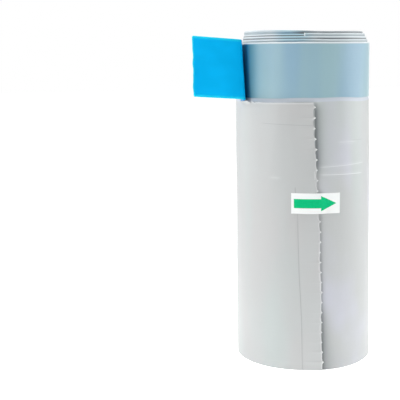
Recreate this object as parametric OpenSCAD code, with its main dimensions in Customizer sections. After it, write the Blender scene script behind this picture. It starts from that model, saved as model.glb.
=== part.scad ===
// A coreless roll of folded drawstring liners for a litter box, standing on its end.
// Seen from above, the folded web winds outwards anticlockwise and ends at the front in a torn,
// perforated edge. The inner turns have telescoped upwards, so the lower end is dished.
// The outermost turn has come loose on the left. Its hem is torn away beside the torn edge, which
// bares the next turn's hem, and there the front drawstring tape bends outwards as a pull tab.
// A label with an arrow holds the torn edge down.
// The hem's skin over the front tape is thinner than any gap here, so that tape lies open in a groove.
// Millimetres, +Z up, the front is -Y, and the origin is on the winding hole's axis at the floor.
// A front angle is measured round the roll from the front, and is positive to the right.

/* [Roll] */
// Diameter over the second turn, which the loose outer turn lies on
wound_d = 64; // [56:1:90]
// Width of the folded web, which is the height of the outermost turn
web_w = 158; // [130:1:220]
// Diameter of the hole that the winding mandrel leaves
hole_d = 14; // [8:1:24]
// Thickness of a drawn turn, which stands for several turns of real film
pitch = 1.1; // [1:0.1:1.6]

/* [Telescoped turns] */
// Rise of each outer turn above the one outside it
turn_rise = 1.35; // [0.3:0.05:2]
// Number of turns that rise one above another
rising_turns = 4; // [2:1:6]
// Depth by which the edges of the inner turns vary
edge_wander = 0.5; // [0.1:0.1:0.9]

/* [Loose outer turn] */
// Thickness of the outermost turn
outer_wall = 0.95; // [0.9:0.05:1.2]
// How far the outermost turn stands off the second turn on the left
loose_stand = 2; // [1.4:0.1:2.2]

/* [Torn edge and notch] */
// Distance of the torn edge to the right of the axis, at the notch
tear_top_x = 4.8; // [1:0.1:7]
// Distance of the torn edge to the right of the axis, at the floor
tear_foot_x = 8.9; // [6:0.1:11]
// Distance between the ties that the perforation left
perf_pitch = 5.4; // [4:0.1:8]
// Width of a tie
tie_w = 0.6; // [0.3:0.1:1]
// Depth of the scallop torn between two ties
perf_depth = 0.7; // [0.3:0.1:1.2]
// Height of the hem that is torn away
notch_h = 28.1; // [28.1:0.1:34]
// Front angle of the notch's closed side
notch_side = -60; // [-66:1:-52]

/* [Drawstring tapes] */
// Width of a tape
tape_w = 27.6; // [20:0.1:27.6]
// Thickness of a tape
tape_t = 0.35; // [0.2:0.05:0.4]
// Gap between a tape and the film round it
tape_gap = 0.05; // [0.03:0.01:0.08]
// Distance from the hem's fold down to a tape
hem_fold = 0.3; // [0.1:0.1:1]
// Film between the front tape and the rear tape
hem_film = 0.3; // [0.2:0.05:0.6]
// Length of bare tape between the hem and the bend
bare_l = 2; // [1.8:0.1:4]
// Inside radius of the bend at the root of the pull tab
bend_r = 1.6; // [0.8:0.1:4]
// Length of the pull tab from the bend to its torn end
tab_len = 24.5; // [12:0.5:40]
// Angle by which the tab swings forwards from straight left
tab_swing = 25; // [0:1:45]
// Angle by which the tab slopes up to its free end
tab_slope = 4.5; // [0:0.5:10]

/* [Label] */
// Length of the label round the roll
label_l = 24.3; // [18:0.1:34]
// Height of the label
label_h = 10; // [9:0.1:16]
// Thickness of the label
label_t = 0.2; // [0.1:0.05:0.4]
// Height of the label's middle above the floor
label_z = 82; // [40:0.5:110]
// Front angle of the label's left end
label_start = -9; // [-16:0.5:0]
// Layer of glue under the label
glue_t = 0.05; // [0.03:0.01:0.1]

/* [Arrow] */
// Thickness of the printed arrow
ink_t = 0.08; // [0.04:0.01:0.15]
// Distance from the label's left end to the arrow
arrow_inset = 1.3; // [0.5:0.1:3]
// Length of the arrow's shaft
shaft_l = 12.5; // [8:0.1:13]
// Height of the arrow's shaft
shaft_h = 4.5; // [2:0.1:6]
// Length of the arrow's head
head_l = 7.2; // [5:0.1:9]
// Height of the arrow's head
head_h = 7.3; // [6.5:0.1:8.5]

/* [Hidden] */
$fn = 64;
FILM = "#d3d6d6";
TAPE = "#01b0ea";
PAPER = "#f3f6f4";
INK = "#05be7b";

// Cutters run past the faces that they open by this much.
over = 1;

// The direction of a front angle, seen from above, counted anticlockwise from +X.
function azimuth(front) = 270 + front;

wound_r = wound_d / 2;
hole_r = hole_d / 2;

// The loose turn's circle touches the second turn's from outside, at the far right.
loose_shift = loose_stand / 2;
outer_r = wound_r + loose_shift;

// Turns of the spiral that fit between the closed first turn and the second turn from the outside.
turns = floor((wound_r - hole_r) / pitch) - 2;
// Closed turns lap this far into the spiral.
lap = 0.2;
// The steps of one half of the spiral are this much further out, so that no two meet in one edge.
seam_step = 0.15;
second_inner = hole_r + (turns + 1) * pitch - lap;

// Half turns meet in a plane through the axis, which lies just past the torn edge.
seam = 290;
// The inner turns' edges vary by the golden angle, so that no two neighbours match.
golden = 137.5;

// The loose turn runs from the far right round the back, and is cut off at the torn edge.
loose_to = 300;
notch_z = web_w - notch_h;

tape_top = web_w - hem_fold;
tape_foot = tape_top - tape_w;
// Both tapes run from the far right to this far under the loose turn's hem.
tuck = 6;
front_sweep = 360 - azimuth(notch_side) + tuck;
// The tape's groove opens outwards by this much, which clears the loose turn above the tuck.
groove_proud = 0.5;
rear_r = wound_r - tape_t - tape_gap - hem_film - tape_gap;
// The crease is this much thicker than the tape on each side, and holds both tape ends by this much.
crease_swell = 0.06;
crease_l = 1.2;
crease_hold = 0.4;
// The directions in which the hem ends, and in which the tape bends away, seen from the loose centre.
hem_end = azimuth(notch_side);
root = hem_end + bare_l / outer_r * 180 / PI;

label_r = outer_r + glue_t;
label_angle = label_l / label_r * 180 / PI;

// How far turn i stands above the outermost turn, counted outwards from the hole.
function rise(i) =
    let (n = turns - 1 - i)
    n < rising_turns
        ? (n + 1) * turn_rise
        : rising_turns * turn_rise - edge_wander * (1 + sin(golden * n));

// Part of an upright ring between two directions.
module arc_wall(inner, outer, foot, top, from, to) {
    translate([0, 0, foot])
        rotate([0, 0, from])
            rotate_extrude(angle = to - from)
                translate([inner, 0])
                    square([outer - inner, top - foot]);
}

// The turns cut through on one side of the roll, each at its own height, with grow added to the radius.
module turns_cut_through(grow) {
    function inner(i) = hole_r + (i + 1) * pitch + grow;
    polygon(concat(
        [for (i = [0 : turns - 1], r = [inner(i), inner(i + 1)]) [r, rise(i)]],
        [for (i = [turns - 1 : -1 : 0], r = [inner(i + 1), inner(i)]) [r, web_w + rise(i)]]
    ));
}

// The spiral is two half turns of that section. The second half's shifted centre joins each turn of
// the first half to the next one, so the radius grows by a pitch each time round. It starts on a
// closed turn.
module spiral() {
    arc_wall(hole_r + pitch - lap, hole_r + 2 * pitch + seam_step + lap, rise(0), web_w + rise(0), 0, 360);
    rotate([0, 0, seam]) {
        rotate_extrude(angle = 180)
            turns_cut_through(0);
        translate([pitch / 2, 0, 0])
            rotate([0, 0, 180])
                rotate_extrude(angle = 180)
                    turns_cut_through(pitch / 2 + seam_step);
    }
}

// The mandrel drew the first turn back level with the outermost one. It closes on itself.
module innermost_turn() {
    arc_wall(hole_r, hole_r + pitch, 0, web_w, 0, 360);
}

// What is torn away to the right of an upright perforation, with a scallop between each two ties.
module torn_away(length, far) {
    half_chord = (perf_pitch - tie_w) / 2;
    scallop_r = (pow(half_chord, 2) + pow(perf_depth, 2)) / (2 * perf_depth);
    translate([0, -over])
        square([far, length + 2 * over]);
    for (s = [perf_pitch / 2 : perf_pitch : length + perf_pitch / 2])
        translate([scallop_r - perf_depth, s])
            circle(r = scallop_r);
}

module second_turn() {
    arc_wall(second_inner, wound_r, 0, web_w, 0, 360);
}

module loose_turn() {
    difference() {
        translate([-loose_shift, 0, 0])
            arc_wall(outer_r - outer_wall, outer_r, 0, web_w, 0, loose_to);
        translate([tear_foot_x, -wound_r / 2, 0])
            rotate([90, 0, 0])
                rotate([0, 0, atan2(tear_foot_x - tear_top_x, notch_z)])
                    linear_extrude(wound_r)
                        torn_away(norm([tear_foot_x - tear_top_x, notch_z]), wound_r);
        translate([-loose_shift, 0, 0])
            arc_wall(outer_r - outer_wall - over, outer_r + over, notch_z, web_w + over,
                     azimuth(notch_side), loose_to + over);
    }
}

// The front tape's way: forwards from the far right round the second turn's front, under the notch,
// and back from there round the loose turn. As a cutter, it is wider by grow.
module front_tape_way(grow, proud, loose_end) {
    foot = tape_foot - grow;
    top = tape_top + grow;
    mirror([0, 1, 0])
        arc_wall(wound_r - tape_t - grow, wound_r + proud, foot, top, 0, front_sweep);
    translate([-loose_shift, 0, 0])
        arc_wall(outer_r - tape_t - grow, outer_r + proud, foot, top, 0, loose_end);
}

// The rear tape's way, one film deeper than the front tape's.
module rear_tape_way(grow) {
    mirror([0, 1, 0])
        arc_wall(rear_r - tape_t - grow, rear_r + grow, tape_foot - grow, tape_top + grow,
                 0, front_sweep);
}

// The bare end of the tape: its crease, which bends outwards, and the tab with its torn end.
module pull_tab() {
    turned = root - 90 - tab_swing;
    climb = tab_len * tan(tab_slope);
    back = crease_hold * tan(tab_slope);
    foot = tape_foot - crease_swell;
    top = tape_top + crease_swell;
    translate([-loose_shift, 0, 0])
        rotate([0, 0, root]) {
            translate([outer_r - tape_t - crease_swell, -crease_l, foot])
                cube([tape_t + 2 * crease_swell, crease_l, top - foot]);
            translate([outer_r + bend_r, 0, 0])
                rotate([0, 0, 180])
                    mirror([0, 1, 0])
                        arc_wall(bend_r - crease_swell, bend_r + tape_t + crease_swell, foot, top,
                                 0, turned);
        }
    translate([-loose_shift, 0, 0])
        translate((outer_r + bend_r) * [cos(root), sin(root), 0])
            rotate([0, 0, tab_swing])
                translate([0, -bend_r, 0])
                    rotate([90, 0, 0])
                        linear_extrude(tape_t)
                            difference() {
                                polygon([
                                    [crease_hold, tape_foot - back],
                                    [crease_hold, tape_top - back],
                                    [-tab_len, tape_top + climb],
                                    [-tab_len, tape_foot + climb]
                                ]);
                                translate([-tab_len, tape_foot + climb])
                                    mirror([1, 0, 0])
                                        torn_away(tape_w, over);
                            }
}

// The arrow as it is seen from the front, drawn round the roll and so foreshortened to its ends.
module arrow_outline() {
    function across(l) = label_r * sin(label_start + (arrow_inset + l) / label_r * 180 / PI);
    shaft_end = across(shaft_l);
    tip = across(shaft_l + head_l);
    polygon([
        [across(0), -shaft_h / 2],
        [shaft_end, -shaft_h / 2],
        [shaft_end, -head_h / 2],
        [tip, 0],
        [shaft_end, head_h / 2],
        [shaft_end, shaft_h / 2],
        [across(0), shaft_h / 2]
    ]);
}

module liner_roll() {
    color(FILM)
        difference() {
            union() {
                innermost_turn();
                spiral();
                second_turn();
                loose_turn();
            }
            front_tape_way(tape_gap, groove_proud, hem_end);
            rear_tape_way(tape_gap);
        }
}

module front_drawstring() {
    color(TAPE)
        union() {
            front_tape_way(0, 0, root - crease_hold / outer_r * 180 / PI);
            pull_tab();
        }
}

module rear_drawstring() {
    color(TAPE)
        rear_tape_way(0);
}

module arrow_label() {
    from = azimuth(label_start);
    to = from + label_angle;
    foot = label_z - label_h / 2;
    top = label_z + label_h / 2;
    translate([-loose_shift, 0, 0]) {
        color(PAPER)
            arc_wall(label_r, label_r + label_t, foot, top, from, to);
        color(INK)
            intersection() {
                arc_wall(label_r + label_t / 2, label_r + label_t + ink_t, foot, top, from, to);
                translate([0, 0, label_z])
                    rotate([90, 0, 0])
                        linear_extrude(label_r + label_t + ink_t + over)
                            arrow_outline();
            }
    }
}

liner_roll();
front_drawstring();
rear_drawstring();
arrow_label();
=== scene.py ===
"""A coreless roll of folded drawstring liners, with its torn edge, pull tab and arrow label.

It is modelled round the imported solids, in metres, with +Z up and the front towards -Y.
Sizes inside the modelling functions are in millimetres. A front angle is measured round the
roll from the front, in degrees, and is positive to the right.
"""

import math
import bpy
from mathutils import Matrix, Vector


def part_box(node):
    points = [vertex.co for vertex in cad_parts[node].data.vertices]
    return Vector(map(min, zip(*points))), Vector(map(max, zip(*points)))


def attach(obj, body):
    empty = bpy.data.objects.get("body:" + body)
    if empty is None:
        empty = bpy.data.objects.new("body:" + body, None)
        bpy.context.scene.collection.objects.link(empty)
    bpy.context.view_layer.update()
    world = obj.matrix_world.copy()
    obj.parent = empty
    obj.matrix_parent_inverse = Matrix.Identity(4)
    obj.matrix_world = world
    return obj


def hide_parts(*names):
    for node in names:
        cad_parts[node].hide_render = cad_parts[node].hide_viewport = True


bl_info = {
    "name": "Roll of drawstring liners",
    "version": (1, 0, 0),
    "blender": (4, 5, 0),
    "location": "View3D > Sidebar > Liner roll",
    "description": "Models the film, tapes and label of a coreless roll of drawstring liners",
    "category": "Add Mesh",
}

import bpy
import numpy as np
from bpy.props import FloatProperty, PointerProperty, StringProperty
from mathutils import Matrix, Vector, noise

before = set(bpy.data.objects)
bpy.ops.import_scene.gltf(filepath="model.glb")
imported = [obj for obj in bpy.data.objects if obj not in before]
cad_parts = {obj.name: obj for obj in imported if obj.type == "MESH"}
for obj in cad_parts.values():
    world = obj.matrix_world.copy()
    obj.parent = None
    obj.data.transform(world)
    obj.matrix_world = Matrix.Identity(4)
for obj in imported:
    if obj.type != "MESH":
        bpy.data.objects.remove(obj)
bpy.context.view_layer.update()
ROLL_LOW, ROLL_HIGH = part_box("liner_roll")

MM = 0.001


def length_property(name, description, default):
    """A length in metres."""
    return FloatProperty(name=name, description=description, default=default, unit="LENGTH")


def angle_property(name, description, degrees):
    """An angle, given in degrees."""
    default = math.radians(degrees)
    return FloatProperty(name=name, description=description, default=default, unit="ROTATION")


def colour_property(name, description, default):
    """A colour as an sRGB hex value."""
    return StringProperty(name=name, description=description, default=default)


class RollSizes(bpy.types.PropertyGroup):
    """Sizes of the wound film"""

    loose_radius: length_property(
        "Loose turn radius",
        "Outside radius of the loose outermost turn",
        (ROLL_HIGH.x - ROLL_LOW.x) / 2,
    )
    loose_centre: length_property(
        "Loose turn centre",
        "How far the loose turn's centre lies from the hole's axis, along X",
        (ROLL_HIGH.x + ROLL_LOW.x) / 2,
    )
    wound_radius: length_property(
        "Wound radius", "Outside radius of the turn under the loose one", ROLL_HIGH.x
    )
    web_height: length_property(
        "Web height", "Width of the folded web, which is the height of the outer turns", 0.158
    )
    hole_radius: length_property(
        "Hole radius", "Radius of the hole that the winding mandrel leaves", 0.007
    )
    film: length_property("Film", "Thickness drawn for a ply of the outer web", 0.00014)
    tie_pitch: length_property(
        "Tie pitch", "Distance between the ties that the perforation left", 0.00496
    )


class TapeSizes(bpy.types.PropertyGroup):
    """Sizes of the drawstring tapes"""

    width: length_property("Tape width", "Width of a drawstring tape", 0.0276)
    thickness: length_property("Tape thickness", "Thickness of a drawstring tape", 0.00014)
    tab: length_property("Tab length", "Length of the pull tab from its bend to its torn end", 0.0248)
    swing: angle_property("Tab swing", "Angle by which the tab swings forwards from straight left", 25)


class LabelSizes(bpy.types.PropertyGroup):
    """Sizes of the paper label"""

    length: length_property("Label length", "Length of the label round the roll", 0.02395)
    height: length_property("Label height", "Height of the label", 0.0099)
    middle: length_property("Label middle", "Height of the label's middle above the floor", 0.08222)
    tilt: angle_property("Label tilt", "Angle by which the label is stuck on askew", -1.4)


class Finishes(bpy.types.PropertyGroup):
    """Colours of the films, the tape and the label"""

    film: colour_property("Film", "Colour of the milky film over itself", "#b9bcbc")
    band: colour_property("Band", "Colour of the tape seen through the hem's film", "#86a9bd")
    tape: colour_property("Tape", "Colour of the bare drawstring tape", "#02b7f8")
    paper: colour_property("Paper", "Colour of the label's coated paper", "#f4f7f6")
    ink: colour_property("Ink", "Colour of the printed arrow", "#05be7b")


def linear(hex_colour):
    """A node colour from an sRGB hex value."""
    channels = [int(hex_colour[i : i + 2], 16) / 255 for i in (1, 3, 5)]
    return [*(c / 12.92 if c <= 0.04045 else ((c + 0.055) / 1.055) ** 2.4 for c in channels), 1.0]


def add_node(tree, kind, inputs=None, **settings):
    """Adds a node with its settings, and links or sets the inputs that are given by name or number."""
    node = tree.nodes.new(kind)
    for name, value in settings.items():
        setattr(node, name, value)
    for key, value in (inputs or {}).items():
        if isinstance(value, bpy.types.NodeSocket):
            tree.links.new(value, node.inputs[key])
        else:
            node.inputs[key].default_value = value
    return node


def new_material(name):
    """A material with an empty tree."""
    material = bpy.data.materials.new(name)
    material.use_nodes = True
    material.node_tree.nodes.clear()
    return material, material.node_tree


def with_surface(material, inputs, kind="ShaderNodeBsdfPrincipled"):
    """The material, with a shader of that kind as its surface."""
    shader = add_node(material.node_tree, kind, inputs)
    add_node(material.node_tree, "ShaderNodeOutputMaterial", {0: shader.outputs[0]})
    return material


def ease(tree, value, low, high):
    """A number that rises smoothly from 0 to 1 while value goes from low to high."""
    inputs = {"Value": value, "From Min": low, "From Max": high}
    return add_node(tree, "ShaderNodeMapRange", inputs, interpolation_type="SMOOTHSTEP").outputs[0]


def ranged(tree, value, low, high):
    """A number that goes evenly from low to high while value goes from 0 to 1."""
    inputs = {"Value": value, "To Min": low, "To Max": high}
    return add_node(tree, "ShaderNodeMapRange", inputs).outputs[0]


def maths(tree, operation, *inputs):
    """The result of a math node."""
    return add_node(tree, "ShaderNodeMath", dict(enumerate(inputs)), operation=operation).outputs[0]


def between(tree, value, low, high, soft):
    """A mask that is 1 from low to high, with edges as wide as soft."""
    rise = ease(tree, value, low - soft / 2, low + soft / 2)
    fall = ease(tree, value, high + soft / 2, high - soft / 2)
    return maths(tree, "MULTIPLY", rise, fall)


def mixed(tree, factor, first, second):
    """The first colour where factor is 0 and the second where it is 1."""
    node = add_node(tree, "ShaderNodeMix", {"Factor": factor, 6: first, 7: second}, data_type="RGBA")
    return node.outputs[2]


def attribute(tree, name):
    """The number that the mesh carries under that name."""
    return add_node(tree, "ShaderNodeAttribute", attribute_name=name).outputs["Fac"]


def bumped(tree, height, strength, depth):
    """A normal that follows a height, with a strength and a depth in metres."""
    return add_node(
        tree, "ShaderNodeBump", {"Height": height, "Strength": strength, "Distance": depth}
    ).outputs[0]


def speckle(tree, scale, detail):
    """Noise on the object's own coordinates."""
    place = add_node(tree, "ShaderNodeTexCoord").outputs["Object"]
    return add_node(
        tree, "ShaderNodeTexNoise", {"Vector": place, "Scale": scale, "Detail": detail}
    ).outputs["Fac"]


def flat_coordinates(tree):
    """The flat web's place as a vector, along it and up it, in millimetres, from its own UV map."""
    uv = add_node(tree, "ShaderNodeUVMap", uv_map="flat").outputs[0]
    scaled = add_node(tree, "ShaderNodeVectorMath", {0: uv, 3: 1 / MM}, operation="SCALE").outputs[0]
    parts = add_node(tree, "ShaderNodeSeparateXYZ", {0: scaled})
    return scaled, parts.outputs[0], parts.outputs[1]


def streaked(tree, vector, along, across, detail):
    """Noise on the flat web, stretched by its own scale in each direction, per millimetre."""
    placed = add_node(
        tree, "ShaderNodeMapping", {"Vector": vector, "Scale": (along, across, 1.0)}
    ).outputs[0]
    return add_node(
        tree, "ShaderNodeTexNoise", {"Vector": placed, "Scale": 1.0, "Detail": detail}
    ).outputs["Fac"]


# Place along the flat web, in millimetres, where its last turn starts.
WEB_SEAM = 230.0
# Heights on the flat web: the foot of the pale strip, the foot of the band and the band's top.
STRIP_FOOT = 130.1
BAND_FOOT = 131.9
BAND_TOP = 157.35
# Stretches of the band along the flat web, as from, to, softness and colour: painted shadow that
# the tab casts beside it, bare tape at the tab's root painted dark as in deep shade, and a painted
# paler side where light falls at the roll's right side.
BAND_STRETCHES = (
    (130.0, 153.0, 9.0, "#5b8d9b"),
    (130.0, 148.0, 5.0, "#0a6c96"),
    (222.0, 238.0, 6.0, "#adc4c9"),
)
# The stretch of a packed turn where its tape shows most, from, to and softness.
PACKED_BLUE = (-13.0, 2.0, 9.0)


def milky_film(finishes, name="milky_polyethylene_film_blown", packed=False):
    """Low-density polyethylene film, blown and wound: several plies look milky grey and softly
    shiny. Over the tape in the hem they look pale blue. Between packed turns little light reaches
    the tape, so it looks slate grey there."""
    material, tree = new_material(name)
    flat, along, up = flat_coordinates(tree)
    # The last turn is a little warmer than the one under it.
    last_turn = ease(tree, along, WEB_SEAM - 1, WEB_SEAM + 1)
    clouded = mixed(tree, last_turn, linear("#bfc1ca"), linear("#babbbb"))
    cloud = streaked(tree, flat, 0.035, 0.022, 2.0)
    film = mixed(tree, ease(tree, cloud, 0.42, 0.68), linear(finishes.film), clouded)
    cool = streaked(tree, flat, 0.05, 0.012, 1.0)
    film = mixed(tree, ease(tree, cool, 0.5, 0.75), film, linear("#b7bebd"))
    if packed:
        blue = between(tree, along, *PACKED_BLUE)
        band = mixed(tree, blue, linear("#a5b3b9"), linear("#7397ab"))
        lip = mixed(tree, blue, linear("#c3ccd0"), linear("#9bbbc6"))
    else:
        tint = streaked(tree, flat, 0.06, 0.006, 1.0)
        band = mixed(tree, ease(tree, tint, 0.38, 0.62), linear("#91b2bb"), linear(finishes.band))
        # Painted shade and light on the band: the tab's shadow, the dark bare tape at its root and the
        # paler right side.
        for start, end, soft, colour in BAND_STRETCHES:
            band = mixed(tree, between(tree, along, start, end, soft), band, linear(colour))
        lip = linear("#ccd4d7")
    colour = mixed(tree, between(tree, up, STRIP_FOOT, BAND_FOOT, 0.5), film, linear("#bcc3cc"))
    colour = mixed(tree, between(tree, up, BAND_FOOT, BAND_TOP, 0.7), colour, band)
    colour = mixed(tree, ease(tree, up, BAND_TOP - 0.15, BAND_TOP + 0.15), colour, lip)
    if not packed:
        # Painted highlight and painted shade along each thin crease.
        for lit, dull in crease_masks(tree, along, up):
            colour = mixed(tree, lit, colour, linear("#e6e9ea"))
            colour = mixed(tree, dull, colour, linear("#8d9295"))
    # Painted shade from the shade attribute: beside the torn edge and between the rising turns; also the
    # side seal's thin grey line.
    colour = mixed(tree, attribute(tree, "shade"), colour, linear("#545a5e"))
    # Whiter where the film was stretched, and a painted highlight along the torn edge.
    colour = mixed(tree, attribute(tree, "strain_and_highlight"), colour, linear("#f3f5f5"))
    wrinkle = streaked(tree, flat, 0.09, 0.05, 3.0)
    streak = streaked(tree, flat, 0.05, 1.6, 2.0)
    relief = maths(tree, "MULTIPLY_ADD", streak, 0.12, wrinkle)
    gloss = ranged(tree, wrinkle, 0.4, 0.52)
    normal = bumped(tree, relief, 0.35, 0.0006)
    finish = {"Base Color": colour, "Roughness": gloss, "Normal": normal, "IOR": 1.5}
    return with_surface(material, finish)


def flat_place(angles, on_loose, sizes):
    """Where front angles lie along the flat web, on the loose turn or on the one under it."""
    loose = sizes.loose_radius / MM * np.radians(angles + 270)
    wound = sizes.wound_radius / MM * np.radians(angles - 90)
    return WEB_SEAM + np.where(on_loose, loose, wound)


def crease_masks(tree, along, up):
    """For each thin crease, a mask of its painted highlight and one of its painted shade just below."""
    sizes = bpy.context.scene.liner_roll_sizes
    masks = []
    for first, last, first_height, last_height, depth, on_loose in CREASES:
        start, end = (float(flat_place(angle, on_loose, sizes)) for angle in (first, last))
        slope = (last_height - first_height) / (end - start)
        level = maths(tree, "MULTIPLY_ADD", along, -slope, start * slope - first_height)
        above = maths(tree, "ADD", up, level)
        here = between(tree, along, start, end, 4.0)
        if depth > 0:
            lit, dull = min(0.55, depth * 5), depth * 2.5
        else:
            lit, dull = 0.0, -depth * 8
        pair = []
        for low, high, amount in ((-0.1, 0.15, lit), (-0.5, -0.25, dull)):
            line = maths(tree, "MULTIPLY", between(tree, above, low, high, 0.25), here)
            pair.append(maths(tree, "MULTIPLY", line, amount))
        masks.append(pair)
    return masks


def bright_tape(finishes):
    """Linear polyethylene tape, extruded and slit: opaque bright blue with a dull shine, paler
    along its slit edges and its torn end, partly stretched there and partly a painted highlight."""
    material, tree = new_material("blue_polyethylene_tape_slit")
    flat, _, _ = flat_coordinates(tree)
    cloud = streaked(tree, flat, 0.06, 0.09, 2.0)
    colour = mixed(tree, ease(tree, cloud, 0.35, 0.7), linear(finishes.tape), linear("#06beff"))
    # Paler slit edges and torn end: stretched tape, partly a painted highlight.
    colour = mixed(tree, attribute(tree, "strain_and_highlight"), colour, linear("#2be6ff"))
    grain = streaked(tree, flat, 0.05, 2.2, 2.0)
    finish = {
        "Base Color": colour,
        "Roughness": 0.46,
        "Normal": bumped(tree, grain, 0.2, 0.0002),
        "IOR": 1.5,
        "Specular IOR Level": 0.04,
    }
    return with_surface(material, finish)


def coated_paper(finishes):
    """Coated label paper, die cut: bright white with a faint tooth."""
    material, tree = new_material("coated_paper_die_cut")
    tooth = speckle(tree, 2600.0, 3.0)
    colour = mixed(tree, tooth, linear(finishes.paper), linear("#eff2f1"))
    normal = bumped(tree, tooth, 0.15, 0.00003)
    finish = {"Base Color": colour, "Roughness": 0.5, "Normal": normal}
    return with_surface(material, finish)


def printed_ink(finishes):
    """Flexographic ink, printed on coated paper: an even green, a little uneven in its coverage."""
    material, tree = new_material("green_ink_flexo_printed")
    cover = ease(tree, speckle(tree, 900.0, 4.0), 0.45, 0.75)
    colour = mixed(tree, cover, linear(finishes.ink), linear("#14c184"))
    finish = {"Base Color": colour, "Roughness": 0.42, "Specular IOR Level": 0.08}
    return with_surface(material, finish)


def seen_directly(tree):
    """1 for what the camera sees, also in a reflection or through a clear piece, and 0 for light
    that falls on the roll."""
    rays = add_node(tree, "ShaderNodeLightPath").outputs
    seen = maths(tree, "MAXIMUM", rays["Is Camera Ray"], rays["Is Glossy Ray"])
    return maths(tree, "MAXIMUM", seen, rays["Is Transmission Ray"])


def white_sweep():
    """Matt white background paper, which the camera sees as white but where the shadow falls."""
    material, tree = new_material("matt_background_paper")
    colour = mixed(tree, speckle(tree, 60.0, 2.0), linear("#f4f4f4"), linear("#f0f0f0"))
    paper = add_node(tree, "ShaderNodeBsdfDiffuse", {"Color": colour}).outputs[0]
    glow = add_node(tree, "ShaderNodeEmission", {"Color": (1, 1, 1, 1), "Strength": 0.62})
    both = add_node(tree, "ShaderNodeAddShader", {0: paper, 1: glow.outputs[0]}).outputs[0]
    return with_surface(material, {0: seen_directly(tree), 1: paper, 2: both}, "ShaderNodeMixShader")


def around(front, radius, centre, height):
    """Points at front angles round an upright axis at x = centre."""
    angle = np.radians(front)
    return np.stack(
        np.broadcast_arrays(centre + radius * np.sin(angle), -radius * np.cos(angle), height), axis=-1
    )


def face_corners(mesh):
    """The point at each corner of each face."""
    corners = np.empty(len(mesh.loops), dtype=int)
    mesh.loops.foreach_get("vertex_index", corners)
    return corners


def lay_sheet(name, placed, flat, strain_and_highlight=None, shade=None):
    """Adds a grid with as many lines as the arrays have, and moves its points to their places.
    The flat places become its UV map, and strain and shade become attributes."""
    columns, rows = placed.shape[:2]
    bpy.ops.object.select_all(action="DESELECT")
    bpy.ops.mesh.primitive_grid_add(x_subdivisions=columns - 1, y_subdivisions=rows - 1, size=1)
    piece = bpy.context.object
    piece.name = name
    mesh = piece.data
    mesh.name = name
    points = np.empty(len(mesh.vertices) * 3)
    mesh.vertices.foreach_get("co", points)
    points = points.reshape(-1, 3)
    if len(points) != columns * rows:
        raise RuntimeError(f"{name}: the grid has {len(points)} points, not {columns * rows}")
    column = np.rint((points[:, 0] + 0.5) * (columns - 1)).astype(int)
    row = np.rint((points[:, 1] + 0.5) * (rows - 1)).astype(int)
    mesh.vertices.foreach_set("co", (placed[column, row] * MM).astype(np.float32).ravel())
    corners = face_corners(mesh)
    places = flat[column[corners], row[corners]] * MM
    layer = mesh.uv_layers.active
    layer.name = "flat"
    layer.data.foreach_set("uv", places.astype(np.float32).ravel())
    for label, amount in (("strain_and_highlight", strain_and_highlight), ("shade", shade)):
        layer = mesh.attributes.new(label, "FLOAT", "POINT")
        values = np.zeros(len(points)) if amount is None else amount[column, row]
        layer.data.foreach_set("value", values.astype(np.float32))
    mesh.update()
    return piece, column, row


def delete_faces(piece, unwanted):
    """Deletes the faces that a mask picks."""
    mesh = piece.data
    bpy.ops.object.mode_set(mode="EDIT")
    bpy.ops.mesh.select_mode(type="FACE")
    bpy.ops.mesh.select_all(action="DESELECT")
    bpy.ops.object.mode_set(mode="OBJECT")
    mesh.polygons.foreach_set("select", unwanted)
    bpy.ops.object.mode_set(mode="EDIT")
    bpy.ops.mesh.delete(type="FACE")
    bpy.ops.object.mode_set(mode="OBJECT")


def thicken(piece, thickness, offset=-1.0):
    """Gives a sheet its thickness, inwards unless offset says otherwise, and smooth shading."""
    bpy.context.view_layer.objects.active = piece
    wall = piece.modifiers.new("wall", "SOLIDIFY")
    wall.thickness = thickness
    wall.offset = offset
    bpy.ops.object.modifier_apply(modifier=wall.name)
    bpy.ops.object.select_all(action="DESELECT")
    piece.select_set(True)
    bpy.ops.object.shade_smooth_by_angle(angle=math.radians(40))
    return piece


def dress(piece, material, slot, *nodes):
    """Gives a piece its one material, and puts it on the roll's body in place of the CAD nodes."""
    piece.data.materials.clear()
    piece.data.materials.append(material)
    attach(piece, "root")
    if nodes:
        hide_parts(*nodes)


def get_material(name, make):
    """The material of that name, made once."""
    return bpy.data.materials.get(name) or make(bpy.context.scene.liner_finishes)


def drift(points, scale, seed):
    """Smooth noise at points in millimetres, from -1 to 1."""
    shape = points.shape[:-1]
    flat = points.reshape(-1, 3) * scale + (0, 0, seed)
    return np.array([noise.noise(Vector(point)) for point in flat]).reshape(shape)


def wobble(values, scale, second, third):
    """Smooth noise along a row of values, from -1 to 1."""
    return np.array([noise.noise(Vector((value * scale, second, third))) for value in values])


def push_out(placed, angles, amount):
    """Moves points at front angles straight away from the axis, in the array itself."""
    placed[..., 0] += amount * np.sin(np.radians(angles))
    placed[..., 1] -= amount * np.cos(np.radians(angles))


# Front angle of the torn edge at a height, from the foot up.
TEAR_HEIGHTS = (0.0, 20.0, 39.8, 60.0, 80.5, 90.0, 100.2, 115.0, 130.4)
TEAR_ANGLES = (15.9, 15.9, 15.5, 14.7, 13.7, 12.8, 11.4, 10.4, 9.8)
# How far the torn edge is lifted off the turn under it, from the foot up.
LIFT_HEIGHTS = (0.0, 8.0, 20.0, 40.0, 55.0, 70.0, 76.0, 88.0, 96.0, 101.0, 108.0, 122.0, 130.4)
LIFTS = (1.3, 0.9, 0.35, 0.15, 0.5, 0.3, 0.0, -0.1, -0.2, 0.3, 0.9, 0.8, 0.3)
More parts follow.
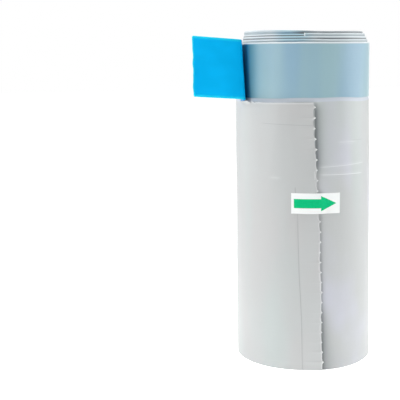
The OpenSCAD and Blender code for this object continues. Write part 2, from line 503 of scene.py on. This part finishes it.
# Front angle of the side seal of the last bag, from the foot up.
SEAL_HEIGHTS = (0.7, 26.0, 48.9, 75.8, 93.2, 130.4)
SEAL_ANGLES = (0.0, -0.7, -2.7, -3.9, -6.3, -9.0)
# How far the hem's fold wanders up, round the roll.
WANDER_ANGLES = (-180.0, -100.0, -60.0, -30.0, 0.0, 12.0, 25.0, 45.0, 90.0, 180.0)
WANDER = (0.1, 0.15, 0.42, 0.46, 0.32, 0.18, 0.0, -0.05, -0.2, 0.1)
# How far the turns bulge at the left and at the right, from the foot up.
LEFT_HEIGHTS = (0.0, 20.0, 34.0, 50.0, 66.0, 97.0, 112.0, 130.0, 140.0)
LEFT_BULGE = (0.15, 0.18, 0.3, 0.35, 0.25, 0.27, 0.32, 0.38, 0.0)
RIGHT_HEIGHTS = (0.0, 20.0, 50.0, 70.0, 100.0, 128.0, 140.0, 158.0)
RIGHT_BULGE = (0.15, 0.22, 0.2, 0.25, 0.3, 0.0, 0.0, 0.0)
# How far the band's foot wanders up, round the roll.
BAND_ANGLES = (-90.0, -20.0, -10.0, 0.0, 12.0, 22.0, 33.0, 43.0, 52.0, 62.0, 90.0)
BAND_WANDER = (0.0, 0.1, 0.45, 0.45, 0.3, 0.35, 0.38, 0.1, -0.3, -0.45, -0.3)
# How dark the painted shade beside the torn edge is, and how far that reaches, from the foot up.
SHADE_HEIGHTS = (0.0, 12.0, 26.0, 34.0, 75.0, 84.0, 93.0, 97.0, 101.0, 126.0, 130.0)
SHADES = (0.6, 0.72, 0.6, 0.3, 0.22, 0.12, 0.08, 0.3, 0.68, 0.7, 0.1)
SHADE_REACHES = (4.2, 2.8, 1.7, 1.0, 0.6, 0.6, 0.6, 1.4, 1.7, 1.7, 1.6)
# Height of the lowest tie of the torn edge, below the foot's cut, and the width of a tie.
FIRST_TIE = -0.99
TIE_WIDTH = 0.6
# Height of the notch's foot, and the front angle of its closed side.
NOTCH_FOOT = 130.2
NOTCH_SIDE = -60.0
# Thickness of the folded web, which the radius loses in a turn.
WEB_THICKNESS = 0.65
# Height above which the turns don't flare outwards.
FLARE_TOP = 122.0
# Creases: front angles from and to, heights there, depth (positive is a ridge), and whether it is
# on the loose turn.
CREASES = (
    (-35.0, 9.6, 120.8, 119.8, -0.05, True),
    (-27.0, -19.0, 94.6, 94.4, 0.018, True),
    (14.0, 60.0, 99.4, 100.0, 0.07, False),
    (14.0, 58.0, 95.8, 95.0, 0.11, False),
    (31.0, 49.0, 110.9, 110.7, 0.04, False),
    (44.0, 60.0, 112.0, 111.7, -0.04, False),
)
# Heights of the hem's rows, from the notch's foot up to the fold and down the rear ply, and how far
# inwards each lies.
HEM_UP = (130.2, 130.7, 131.3, 131.8, 132.3, 135, 140, 146, 152, 156, 157.2, 157.65, 157.92, 158)
HEM_DOWN = (157.92, 157.65, 157.2, 145, 132, 130.4, 129, 110, 90, 60, 42, 30, 22, 16, 11, 7, 3.5, 0.2)
UP_OFFSETS = (0, 0.07, 0.1, 0.05, 0, 0, 0, 0, 0, 0, 0, 0.03, 0.14, 0.31)
DOWN_OFFSETS = (
    *(0.48, 0.59, 0.62, 0.62, 0.62, 0.46, 0.3, 0.3, 0.3),
    *(0.3, 0.3, 0.3, 0.32, 0.34, 0.36, 0.38, 0.4, 0.4),
)
# Rows of the hem from the notch's foot over the fold to its foot on the rear ply.
NOTCH_ROWS = 20


def web_rows(tie_pitch):
    """Inward offset and height of each row of the folded web, with rows that fit the ties, and the
    number of the first row of the hem."""
    heights = [0.0]
    for k in range(int(NOTCH_FOOT / tie_pitch) + 2):
        for part in (-0.6, -0.28, 0.0, 0.28, 0.6, 1.3, 2.2, 3.1, 3.8):
            height = FIRST_TIE + k * tie_pitch + part
            if 0.2 < height < NOTCH_FOOT - 0.2:
                heights.append(height)
    offsets = [0.0] * len(heights) + [*UP_OFFSETS, *DOWN_OFFSETS]
    return np.array(offsets), np.array([*heights, *HEM_UP, *HEM_DOWN]), len(heights)


def nib(height, tie_pitch):
    """How far the torn edge stands out at a height: a tie's nib, or a scallop between two ties."""
    k = np.floor((height - FIRST_TIE) / tie_pitch + 0.5)
    away = np.abs(height - FIRST_TIE - k * tie_pitch)
    half = TIE_WIDTH / 2
    vary = wobble(k, 3.7, 1.3, 0.0)
    past_tie = np.clip((away - half) / (tie_pitch / 2 - half), 0, 1)
    deep = np.interp(height, (0.0, 70.0, 90.0, 130.0), (0.3, 0.4, 0.5, 0.7)) * (1 + 0.5 * vary)
    scallop = deep * np.sqrt(np.clip(1 - (1 - past_tie) ** 2, 0, 1))
    tie = (0.5 + 0.4 * vary) * np.clip(1 - away / TIE_WIDTH, 0, 1)
    rough = drift(np.stack([height, height * 0, height * 0], axis=-1), 0.9, 5.0)
    return tie - scallop + 0.1 + 0.15 * rough


def flare(heights):
    """How far the lower end flares, as a share of its foot's."""
    return np.clip(1 - heights / FLARE_TOP, 0, 1) ** 1.3


def wound_in(angles):
    """How far the turn under the loose one has wound inwards from its seam at front angles."""
    return WEB_THICKNESS * (90 - angles) / 360


def under_face(angles, heights, wound):
    """Outside radius of the turn under the loose one. Its lower end flares where it shows."""
    shown = np.interp(angles, (6, 16), (0.3, 1))
    front = np.interp(angles, (6, 16, 32, 60), (0, 1, 1, 0))
    foot = 1.15 * np.clip(1 - heights / 40, 0, 1) ** 2 * front
    bulge = np.interp(heights, RIGHT_HEIGHTS, RIGHT_BULGE) * np.interp(angles, (30, 60), (0, 1))
    return wound - wound_in(angles) + 1.05 * shown * flare(heights) + foot + bulge


def loose_face(angles, heights, loose):
    """Outside radius of the loose turn, about its own centre."""
    share = np.interp(angles, (-270, -200, -60, 20), (1.05, 0.8, 0.55, 0.55))
    at_left = np.interp(angles, (-190, -130, -60, -15), (0, 1, 1, 0))
    at_right = np.interp(angles, (-270, -230), (1, 0))
    left = np.interp(heights, LEFT_HEIGHTS, LEFT_BULGE) * at_left
    right = np.interp(heights, RIGHT_HEIGHTS, RIGHT_BULGE) * at_right
    return loose + share * flare(heights) + left + right


def wander(angles):
    """How far the hem's fold stands above its even height, round the roll."""
    turned = (angles + 180) % 360 - 180
    return np.interp(turned, WANDER_ANGLES, WANDER)


class OuterWeb:
    """The last two turns of the folded web, as columns round the roll and rows up it. The loose
    turn's columns follow those of the turn under it."""

    def __init__(self, sizes):
        self.sizes = sizes
        self.wound, self.loose = sizes.wound_radius / MM, sizes.loose_radius / MM
        self.pitch = sizes.tie_pitch / MM
        self.offset, self.height, self.notch_row = web_rows(self.pitch)
        self.row = np.arange(len(self.height))
        self.seal = np.interp(self.height, SEAL_HEIGHTS, SEAL_ANGLES)
        self.tear = self.torn_edge()
        self.angles, self.is_loose = self.columns()
        self.on_loose = self.is_loose[:, None]
        self.from_tear = np.radians(self.tear - self.angles) * self.loose
        self.from_seal = np.radians(self.angles - self.seal) * self.loose
        # The film's torn upper edge in the notch, and how near the tape it is.
        along = self.angles[:, self.notch_row]
        self.torn_top = np.where(self.is_loose & (along > NOTCH_SIDE), 1.0, 0.0)
        self.beside_tape = np.clip((-34 - along) / 6, 0, 1)

    def torn_edge(self):
        """Front angle of the torn edge at each row. The rear ply tore a little differently."""
        height = self.height
        edge = np.interp(height, TEAR_HEIGHTS, TEAR_ANGLES) + 0.45 * np.sin(height * 0.19 + 1.0)
        rear = nib(height + 1.7, self.pitch) - 0.4
        reach = np.where(self.row <= self.notch_row, nib(height, self.pitch), rear)
        return edge + np.degrees(reach / self.loose)

    def columns(self):
        """Front angles of each column, and which columns are on the loose turn. They are closest
        beside the torn edge, the seal and the notch."""
        under = np.concatenate(
            [
                np.linspace(-270, -70, 26, endpoint=False),
                np.linspace(-70, 8, 20, endpoint=False),
                np.linspace(8, 26, 34, endpoint=False),
                np.linspace(26, 90, 18),
            ]
        )
        back, front = np.linspace(-270, -66, 31)[1:], np.linspace(-66, -38, 23)[1:]
        columns = [np.full(len(self.height), angle) for angle in (*under, *back, *front)]
        for share in np.linspace(0, 1, 13)[1:]:
            columns.append(-38 + share * (self.seal - 1.9 + 38))
        for aside in (-0.9, -0.35, 0.0, 0.35, 0.9):
            columns.append(self.seal + np.degrees(aside / self.loose))
        first = self.seal + np.degrees(1.4 / self.loose)
        for share in (0.12, 0.24, 0.36, 0.48, 0.58, 0.67, 0.75, 0.82, 0.88, 0.93, 0.97, 1.0):
            columns.append(first + (self.tear - first) * share)
        return np.array(columns), np.arange(len(columns)) >= len(under)

    def crease_marks(self):
        """The depth of each crease, and how much of it there is at each point."""
        angles = self.angles
        for first, last, first_height, last_height, depth, on_loose in CREASES:
            share = np.clip((angles - first) / (last - first), 0, 1)
            line = first_height + (last_height - first_height) * share
            inside = np.clip((angles - first + 2) / 4, 0, 1) * np.clip((last + 2 - angles) / 4, 0, 1)
            mark = np.exp(-(((self.height - line) / 0.7) ** 2)) * inside
            yield depth, mark * (self.on_loose == on_loose) * (self.row < self.notch_row)

    def radius(self):
        """Outside radius at each point, with the hem's fold, the torn edge and the creases."""
        height = self.height
        radius = np.where(
            self.on_loose,
            loose_face(self.angles, height, self.loose),
            under_face(self.angles, height, self.wound),
        )
        # The torn edge lifts off, most over the last few millimetres.
        near = np.clip(1 - self.from_tear / 9.0, 0, 1) * self.on_loose
        ply = np.where(self.row <= self.notch_row, 1.0, 0.6) * (height <= NOTCH_FOOT + 0.1)
        lift = np.interp(height, LIFT_HEIGHTS, LIFTS) * near**2 * ply
        foot = np.clip(1 - height / 14.0, 0, 1) ** 2 * np.clip(1 - self.from_tear / 30, 0, 1)
        # The side seal is a shallow groove.
        seal = np.exp(-((self.from_seal / 0.3) ** 2)) * self.on_loose
        seal = seal * np.clip((94 - height) / 6, 0, 1) * (self.row < self.notch_row)
        radius = radius - self.offset + lift + 0.5 * foot * self.on_loose - 0.09 * seal
        return radius + sum(depth * mark for depth, mark in self.crease_marks())

    def places(self):
        """Where the points are, in millimetres."""
        height, angles = self.height, self.angles
        centre = np.where(self.on_loose, self.sizes.loose_centre / MM, 0.0)
        placed = around(angles, self.radius(), centre, height)
        # Slack in the film.
        slack = drift(placed, 0.035, 2.0) * 0.16 + drift(placed, 0.11, 7.0) * 0.05
        slack = slack * np.clip(height / 10, 0.3, 1) * np.clip((157 - height) / 8, 0.1, 1)
        push_out(placed, angles, slack * np.where(self.on_loose, 1.0, 0.6))
        # The film's torn upper edge in the notch is uneven, most beside the tape.
        along = angles[:, self.notch_row]
        ragged = wobble(along, 0.9, 0.4, 3.0)
        climb = 0.12 * ragged + self.beside_tape * (1.5 * ragged + 0.2)
        placed[:, self.notch_row, 2] += self.torn_top * climb
        curl = self.torn_top * self.beside_tape * (0.7 + 1.4 * ragged)
        push_out(placed[:, self.notch_row], along, curl)
        # The fold and the band's foot wander.
        placed[..., 2] += wander(angles) * np.clip((height - 131.0) / 22.0, 0, 1)
        band_foot = np.interp(angles, BAND_ANGLES, BAND_WANDER) * np.exp(-(((height - 131.6) / 5) ** 2))
        placed[..., 2] += np.where(self.on_loose, 0.0, band_foot)
        return placed

    def strain_and_highlight(self):
        """How white the film is along the torn edge, most at its ties, and on the ridges: partly
        stretched film, partly a painted highlight where the torn edge catches light.
        """
        to_tie = np.abs((self.height - FIRST_TIE + self.pitch / 2) % self.pitch - self.pitch / 2)
        at_tie = np.clip(1.3 - to_tie / 0.5, 0, 1)
        edge_whiteness = np.interp(self.height, (0, 60, 100, 108), (0.5, 0.45, 0.4, 0.1))
        edge_whiteness = np.maximum(edge_whiteness, at_tie) * (self.height < NOTCH_FOOT + 0.4)
        # Along the torn edge: stretched white film and a painted highlight, strongest at the ties.
        strain_and_highlight = np.clip(1 - self.from_tear / (0.5 + 0.6 * at_tie), 0, 1) * edge_whiteness * self.on_loose
        ridges = sum(mark for depth, mark in self.crease_marks() if depth > 0)
        strain_and_highlight = np.clip(strain_and_highlight + 0.12 * ridges, 0, 1)
        top = self.torn_top * (0.4 - 0.15 * self.beside_tape)
        strain_and_highlight[:, self.notch_row] = np.maximum(strain_and_highlight[:, self.notch_row], top)
        return strain_and_highlight

    def shade(self):
        """How dark the film is: less light reaches it beside the torn edge, and the side seal is a
        thin grey line."""
        height = self.height
        edge = np.interp(height, TEAR_HEIGHTS, TEAR_ANGLES)
        past_tear = np.radians(self.angles - edge) * self.wound
        fade = np.exp(-np.clip(past_tear, 0, 40) / np.interp(height, SHADE_HEIGHTS, SHADE_REACHES))
        beside_tear = np.interp(height, SHADE_HEIGHTS, SHADES) * fade
        beside_tear = beside_tear * (past_tear > -0.8) * (height < NOTCH_FOOT)
        seal_line = np.where(np.abs(self.from_seal) < 0.1, 0.3, 0.0) * (height < 90)
        return np.where(self.on_loose, seal_line * (self.row < self.notch_row), beside_tear)


class LINERROLL_OT_outer_turns(bpy.types.Operator):
    """Model the last two turns of the folded web, with the hem, the notch and the torn edge"""

    bl_idname = "liner_roll.outer_turns"
    bl_label = "Outer turns"

    def execute(self, context):
        sizes = context.scene.liner_roll_sizes
        web = OuterWeb(sizes)
        along = flat_place(web.angles, web.on_loose, sizes)
        flat = np.stack(np.broadcast_arrays(along, web.height), axis=-1)
        sheet, column, row = lay_sheet("outer_turns", web.places(), flat, web.strain_and_highlight(), web.shade())
        # The loose turn's hem is torn away from the notch's side to the torn edge. The tape hides
        # the last 5 degrees.
        corners = face_corners(sheet.data).reshape(-1, 4)
        first_column = column[corners].min(axis=1)
        gone = (web.angles[first_column, 0] > NOTCH_SIDE - 5) & web.is_loose[first_column]
        gone &= row[corners].min(axis=1) >= web.notch_row
        gone &= row[corners].max(axis=1) <= web.notch_row + NOTCH_ROWS
        delete_faces(sheet, gone)
        thicken(sheet, sizes.film)
        film = get_material("milky_polyethylene_film_blown", milky_film)
        dress(sheet, film, "film", "liner_roll")
        return {"FINISHED"}


# Turns that rise one above another, from the outside: radius, the centre's place along X, rise,
# front angles from and to, and how dark the painted shade makes the face under its pale upper edge.
RISING_TURNS = (
    (30.95, 0.1, 1.36, -90, 268, 0.25),
    (30.5, 0.0, 2.72, -130, 228, 0.95),
    (30.1, -0.25, 4.15, 0.4, 200, 0.25),
    (29.65, -0.55, 3.75, -150, 208, 0.95),
    (29.3, -0.6, 5.5, -120, 230, 0.15),
)
# Heights of a rising turn's rows, and how far each is rounded inwards at the upper edge.
RISING_ROWS = (0, 40, 118, 131, 150, 155, 156.8, 157.05, 157.17, 157.35, 157.5, 157.86, 158)
RISING_TUCK = (0, 0, 0, 0, 0, 0, 0, 0, 0, 0.01, 0.02, 0.08, 0.16)
# The turn that starts in front, the one whose painted shade reaches higher up, and the innermost one.
CUT_TURN = 3
DEEP_TURN = 4
LAST_TURN = 5


class LINERROLL_OT_rising_turns(bpy.types.Operator):
    """Model the turns that have telescoped above the outer ones, one above another"""

    bl_idname = "liner_roll.rising_turns"
    bl_label = "Rising turns"

    def execute(self, context):
        film = milky_film(context.scene.liner_finishes, "milky_polyethylene_film_packed", True)
        for number, (radius, centre, rise, first, last, dark) in enumerate(RISING_TURNS, 1):
            angles = np.linspace(first, last, 150)
            angle, height = np.meshgrid(angles, np.array(RISING_ROWS, dtype=float), indexing="ij")
            spiral = radius - 0.12 * (last - angle) / (last - first)
            lift = rise + 0.1 * wobble(angles, 0.02, rise, 9.0)[:, None]
            placed = around(angle, spiral - np.array(RISING_TUCK), centre, height + lift)
            placed[..., 2] += wander(angle)
            if number == LAST_TURN:
                dips = (0.2, 0.3, -0.1, -0.4, -0.35)
                placed[..., 2] += np.interp(angle, (-90, -40, -12, 15, 60), dips)
            push_out(placed, angle, drift(placed, 0.06, rise) * 0.08)
            flat = np.stack([radius * np.radians(angle), height], axis=-1)
            # Little light gets down between the turns.
            edge = 157.35 if number == DEEP_TURN else 157.05
            shade = dark * np.interp(height, (edge, edge + 0.12), (1.0, 0.0))
            # Painted shade also darkens the last turn's right half, its upper edge less.
            if number == LAST_TURN:
                right = np.interp(angle, (-14, 0), (0, 1))
                shade = np.maximum(shade, right * np.interp(height, (157.2, 157.6), (1.0, 0.45)))
            # The cut end is white.
            strain_and_highlight = None
            if number == CUT_TURN:
                strain_and_highlight = np.clip(1.3 - (angle - first) / 1.1, 0, 1) * (height > 156)
            turn, _, _ = lay_sheet(f"rising_turn_{number}", placed, flat, strain_and_highlight, shade)
            thicken(turn, 0.26 * MM)
            dress(turn, film, "film")
        return {"FINISHED"}


class LINERROLL_OT_inner_turns(bpy.types.Operator):
    """Model the rest of the spiral, down to the hole that the mandrel left"""

    bl_idname = "liner_roll.inner_turns"
    bl_label = "Inner turns"

    def execute(self, context):
        pitch = 0.52
        first_radius = context.scene.liner_roll_sizes.hole_radius / MM + 0.3
        last_radius = 28.75
        turns = (last_radius - first_radius) / pitch
        winding = np.linspace(0, turns, int(turns * 60))
        angles = -70 + winding * 360
        radius = first_radius + pitch * winding + wobble(angles, 0.004, 0.0, 4.0) * 0.08
        # The first turns stayed down, and the others rose with the turns round them.
        rise = np.where(winding < 1.6, 0.0, 4.8 + 0.5 * wobble(winding, 0.9, 0.5, 6.0))
        centre = -0.6 * np.clip((radius - 12) / 17, 0, 1)
        height = np.array([0.0, 0.5, 40.0, 128.0, 156.5, 157.6, 158.0])
        tuck = np.array([0.05, 0.0, 0.0, 0.0, 0.0, 0.02, 0.08])
        placed = around(angles[:, None], radius[:, None] - tuck, centre[:, None], height + rise[:, None])
        flat = np.stack(np.broadcast_arrays((angles * 0.2)[:, None], height), axis=-1)
        core, _, _ = lay_sheet("inner_turns", placed, flat)
        thicken(core, 0.4 * MM)
        film = get_material("milky_polyethylene_film_blown", milky_film)
        dress(core, film, "film")
        return {"FINISHED"}


# How deep the middle of each tape lies under the film's face.
FRONT_DEPTH = 0.24
REAR_DEPTH = 0.42
# Steps of the front tape's bend and of its tab.
BEND_STEPS = 16
TAB_STEPS = 30


def tape_path(context):
    """The front tape's way seen from above, from under the loose turn to its torn end."""
    sizes = context.scene.liner_roll_sizes
    tape = context.scene.liner_tape_sizes
    centre = sizes.loose_centre / MM
    inside_loose = sizes.loose_radius / MM - FRONT_DEPTH
    under = np.linspace(-66, 90, 70)
    round_back = np.append(np.linspace(-270, NOTCH_SIDE - 4.0, 80)[1:], NOTCH_SIDE - 0.5)
    inside_wound = sizes.wound_radius / MM - wound_in(under) - FRONT_DEPTH
    points = list(around(under, inside_wound, 0.0, 0.0)[:, :2])
    points += list(around(round_back, inside_loose, centre, 0.0)[:, :2])
    heading = math.radians(round_back[-1])
    # The bend turns from the roll's tangent to the tab's direction, tight first and then slack.
    turned = (heading - math.pi - tape.swing) % (2 * math.pi)
    steps = [(0.22, turned * 0.9 / BEND_STEPS)] * BEND_STEPS
    tab_step = tape.tab / MM / TAB_STEPS
    steps += [(tab_step, turned * 0.1 * 0.16 * 0.84**k) for k in range(TAB_STEPS)]
    for length, turn in steps:
        heading -= turn
        points.append(points[-1] + length * np.array([math.cos(heading), math.sin(heading)]))
    return np.array(points)


def tear_end(placed, rows, width, direction):
    """Tears the tape's end: a shallow scallop between each two ties, and rounded corners."""
    tie_pitch = 5.6
    scallop = 0.22 * np.abs(np.sin(np.pi * (rows + 1.4) / tie_pitch)) + 0.12 * np.sin(rows * 0.7 + 0.6)
    scallop += 0.7 * np.clip(1 - rows / 0.7, 0, 1) ** 2
    scallop += 0.3 * np.clip(1 - (width - rows) / 0.5, 0, 1) ** 2
    for k, part in ((1, 1.0), (2, 0.75), (3, 0.5), (4, 0.25)):
        placed[-k, :, :2] -= part * scallop[:, None] * direction


class LINERROLL_OT_tapes(bpy.types.Operator):
    """Model the front tape with its pull tab, and the rear tape"""

    bl_idname = "liner_roll.tapes"
    bl_label = "Tapes"

    def execute(self, context):
        sizes = context.scene.liner_roll_sizes
        tape = context.scene.liner_tape_sizes
        width = tape.width / MM
        foot = sizes.web_height / MM - 0.3 - width
        rows = np.array([0, 0.25, 0.7, 1.4, 2.8, 4.2, 5.6, 7, 8.4, 9.8, 11.2, 12.6, 14])
        rows = np.concatenate([rows, width - rows[-2::-1]])
        up = rows / width
        path = tape_path(context)
        along = np.concatenate([[0.0], np.cumsum(np.linalg.norm(np.diff(path, axis=0), axis=1))])
        total = along[-1]
        free_from = along[-1 - BEND_STEPS - TAB_STEPS]
        rise_start = free_from - 4.0
        share = np.clip((along - rise_start) / (total - rise_start), 0, 1)
        begun = np.clip((along - rise_start) / 7.0, 0, 1)
        # The tape climbs out of the hem, fans out a little and slopes up to its free end.
        climb = 1.35 * begun**2 * (3 - 2 * begun)
        climb = climb + 2.0 * np.clip((along - free_from - 3) / tape.tab * MM, 0, 1)
        placed = np.empty((len(path), len(rows), 3))
        placed[..., :2] = path[:, None, :]
        placed[..., 2] = foot + rows + climb[:, None] + 1.1 * begun[:, None] * up
        # The bend leans: the tape turns away a little sooner at its upper edge.
        loose_centre = sizes.loose_centre / MM
        lean = np.interp(along, [free_from - 7, free_from - 1, free_from + 3.5, total], [0, 1, 1, 0])
        turn = -np.radians(5.78) * lean[:, None] * (up - 0.5)
        east, south = placed[..., 0] - loose_centre, placed[..., 1].copy()
        placed[..., 0] = loose_centre + east * np.cos(turn) - south * np.sin(turn)
        placed[..., 1] = east * np.sin(turn) + south * np.cos(turn)
        direction = path[-1] - path[-2]
        direction = direction / np.linalg.norm(direction)
        tear_end(placed, rows, width, direction)
        # The tab bows a little across its width.
        bow = 2.0 * share[:, None] ** 2 * (up - 0.5) ** 2
        placed[..., 0] += direction[1] * bow
        placed[..., 1] -= direction[0] * bow
        flat = np.stack(np.broadcast_arrays(along[:, None], rows + 30), axis=-1)
        side = np.clip(1 - np.minimum(rows, width - rows) / 1.4, 0, 1)
        end = np.clip(1 - (total - along) / 0.8, 0, 1)[:, None]
        # Paler slit edges and torn end, partly a painted highlight.
        strain_and_highlight = np.maximum(side, end) * (along > free_from + 2.5)[:, None]
        front, _, _ = lay_sheet("front_tape", placed, flat, strain_and_highlight)
        thicken(front, tape.thickness, 0.0)
        blue = get_material("blue_polyethylene_tape_slit", bright_tape)
        dress(front, blue, "tape", "front_drawstring")

        angles = np.linspace(-66, 89, 70)
        radius = sizes.wound_radius / MM - wound_in(angles) - REAR_DEPTH
        placed = around(angles[:, None], radius[:, None], 0.0, foot + rows)
        flat = np.stack(np.broadcast_arrays((angles * 0.5)[:, None], rows), axis=-1)
        rear, _, _ = lay_sheet("rear_tape", placed, flat)
        thicken(rear, tape.thickness, 0.0)
        dress(rear, blue, "tape", "rear_drawstring")
        return {"FINISHED"}


# How far the label's middle stands off the loose turn, and off the turn under it.
ON_LOOSE = 0.16
ON_UNDER = 0.2
# Front angle of the label's left end.
LABEL_START = -9.1


def label_place(angles, heights, sizes):
    """Where the label lies: on the loose turn, then down on the turn under it."""
    loose, wound = sizes.loose_radius / MM, sizes.wound_radius / MM
    centre = sizes.loose_centre / MM
    tear = np.interp(heights, TEAR_HEIGHTS, TEAR_ANGLES)
    on_loose = around(angles, loose_face(angles, heights, loose) + ON_LOOSE, centre, heights)
    # On the under turn, each point keeps its place from left to right.
    on_under = on_loose.copy()
    deep = under_face(angles, heights, wound) + ON_UNDER
    on_under[..., 1] = -np.sqrt(np.clip(deep**2 - on_loose[..., 0] ** 2, 0, None))
    past = np.clip((angles - tear - 0.6) / 6.5, 0, 1)
    past = past * past * (3 - 2 * past)
    return on_loose * (1 - past[..., None]) + on_under * past[..., None]


def raised(points, amount):
    """Points moved straight away from the axis."""
    outwards = points * [1, 1, 0]
    return points + amount * outwards / np.linalg.norm(outwards, axis=-1, keepdims=True)


class LINERROLL_OT_label(bpy.types.Operator):
    """Model the paper label and the arrow that is printed on it"""

    bl_idname = "liner_roll.label"
    bl_label = "Label"

    def execute(self, context):
        sizes = context.scene.liner_roll_sizes
        label = context.scene.liner_label_sizes
        middle, tall = label.middle / MM, label.height / MM
        long = label.length / MM
        shaft_start, head_start, tip = 1.3, 14.2, 21.95
        half_shaft, half_head = 2.2, 3.65

        def at(s, h):
            """The label's point s along it from its left end and h above its middle."""
            angles = LABEL_START + np.degrees(s * MM / sizes.loose_radius)
            return label_place(angles, middle + h + math.tan(label.tilt) * (s - 12), sizes)

        def grid(start, end, steps, half, lines):
            """Places along the label and above its middle, in lines from -half to half."""
            return np.meshgrid(
                np.linspace(start, end, steps), np.linspace(-half, half, lines), indexing="ij"
            )

        s, h = grid(0, long, 61, tall / 2, 17)
        # Its corners are a little short of square, as the knife left them.
        s = s + 0.12 * (h / tall) * (s / 24)
        paper, _, _ = lay_sheet("label_paper", at(s, h), np.stack([s, h + 20], axis=-1))
        thicken(paper, 0.1 * MM, 0.0)
        coated = get_material("coated_paper_die_cut", coated_paper)
        dress(paper, coated, "label", "arrow_label")

        shaft = grid(shaft_start, head_start, 32, half_shaft, 7)
        head_s, head_h = grid(head_start, tip - 0.05, 20, half_head, 9)
        head_h = head_h * (tip - head_s) / (tip - head_start)
        parts = []
        for name, (s, h) in (("label_arrow", shaft), ("arrow_head", (head_s, head_h))):
            part, _, _ = lay_sheet(name, raised(at(s, h), 0.075), np.stack([s, h + 20], axis=-1))
            parts.append(thicken(part, 0.03 * MM, 0.0))
        bpy.ops.object.select_all(action="DESELECT")
        for part in parts:
            part.select_set(True)
        bpy.context.view_layer.objects.active = parts[0]
        bpy.ops.object.join()
        ink = get_material("green_ink_flexo_printed", printed_ink)
        dress(bpy.context.object, ink, "label")
        return {"FINISHED"}


def soft_box(name, location, target, width, height, power, spread=180.0):
    """A rectangular area lamp, aimed at a point."""
    bpy.ops.object.select_all(action="DESELECT")
    bpy.ops.object.light_add(type="AREA", location=location)
    lamp = bpy.context.object
    lamp.name = name
    lamp.data.shape = "RECTANGLE"
    lamp.data.size = width
    lamp.data.size_y = height
    lamp.data.energy = power
    lamp.data.spread = math.radians(spread)
    lamp.rotation_euler = (Vector(target) - Vector(location)).to_track_quat("-Z", "Y").to_euler()


class LINERROLL_OT_stage(bpy.types.Operator):
    """Set up the camera, the lamps, the white surroundings and the floor"""

    bl_idname = "liner_roll.stage"
    bl_label = "Stage"

    def execute(self, context):
        scene = context.scene
        # The camera's turn to the left, its look down and its lean.
        yaw, pitch, roll = math.radians(6.29), math.radians(9.18), math.radians(-1.05)
        ahead = Vector(
            (-math.sin(yaw) * math.cos(pitch), math.cos(yaw) * math.cos(pitch), -math.sin(pitch))
        )
        level = Vector((math.cos(yaw), math.sin(yaw), 0.0))
        upward = level.cross(ahead)
        right = math.cos(roll) * level + math.sin(roll) * upward
        up = -math.sin(roll) * level + math.cos(roll) * upward
        bpy.ops.object.select_all(action="DESELECT")
        bpy.ops.object.camera_add(location=(-0.001, -0.4767, 0.1563))
        camera = bpy.context.object
        camera.rotation_euler = Matrix((right, up, -ahead)).transposed().to_euler()
        camera.data.lens = 84.58
        camera.data.sensor_width = 36.0
        scene.camera = camera
        scene.view_settings.view_transform = "Standard"

        middle = (0.0, 0.0, 0.08)
        soft_box("left_softbox", (-0.9, 0.25, 0.1), middle, 0.8, 0.6, 3.5)
        soft_box("right_softbox", (0.9, 0.1, 0.1), middle, 0.8, 0.6, 6.3)
        soft_box("left_front_softbox", (-0.9, -0.6, 0.25), middle, 0.25, 0.7, 4.2)
        soft_box("overhead_softbox", (0.0, -0.1, 1.1), middle, 0.5, 0.5, 0.88, 40.0)

        world = bpy.data.worlds.new("white_surroundings")
        scene.world = world
        world.use_nodes = True
        tree = world.node_tree
        tree.nodes.clear()
        # The surroundings look white, and light the roll at less than that.
        strength = ranged(tree, seen_directly(tree), 0.48, 1.0)
        white = {"Color": (1, 1, 1, 1), "Strength": strength}
        background = add_node(tree, "ShaderNodeBackground", white)
        add_node(tree, "ShaderNodeOutputWorld", {0: background.outputs[0]})

        bpy.ops.object.select_all(action="DESELECT")
        bpy.ops.mesh.primitive_plane_add(size=6.0, location=(0.0, 0.0, -0.0001))
        floor = bpy.context.object
        floor.name = "floor"
        floor.data.materials.append(white_sweep())
        return {"FINISHED"}


class LINERROLL_PT_panel(bpy.types.Panel):
    """Sizes and colours of the roll, and a button for each piece"""

    bl_label = "Liner roll"
    bl_idname = "LINERROLL_PT_panel"
    bl_space_type = "VIEW_3D"
    bl_region_type = "UI"
    bl_category = "Liner roll"

    def draw(self, context):
        layout = self.layout
        for group in GROUPS:
            settings = getattr(context.scene, group)
            for name in settings.__annotations__:
                layout.prop(settings, name)
        for operator in OPERATORS:
            layout.operator(operator.bl_idname)


GROUPS = {
    "liner_roll_sizes": RollSizes,
    "liner_tape_sizes": TapeSizes,
    "liner_label_sizes": LabelSizes,
    "liner_finishes": Finishes,
}
OPERATORS = (
    LINERROLL_OT_outer_turns,
    LINERROLL_OT_rising_turns,
    LINERROLL_OT_inner_turns,
    LINERROLL_OT_tapes,
    LINERROLL_OT_label,
    LINERROLL_OT_stage,
)


def register():
    """Registers the groups, the operators and the panel."""
    for name, group in GROUPS.items():
        bpy.utils.register_class(group)
        setattr(bpy.types.Scene, name, PointerProperty(type=group))
    for operator in OPERATORS:
        bpy.utils.register_class(operator)
    bpy.utils.register_class(LINERROLL_PT_panel)


def unregister():
    """Takes out what register added."""
    bpy.utils.unregister_class(LINERROLL_PT_panel)
    for operator in reversed(OPERATORS):
        bpy.utils.unregister_class(operator)
    for name, group in GROUPS.items():
        delattr(bpy.types.Scene, name)
        bpy.utils.unregister_class(group)


def main():
    """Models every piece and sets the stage."""
    register()
    bpy.ops.liner_roll.outer_turns()
    bpy.ops.liner_roll.rising_turns()
    bpy.ops.liner_roll.inner_turns()
    bpy.ops.liner_roll.tapes()
    bpy.ops.liner_roll.label()
    bpy.ops.liner_roll.stage()


if __name__ == "__main__":
    main()
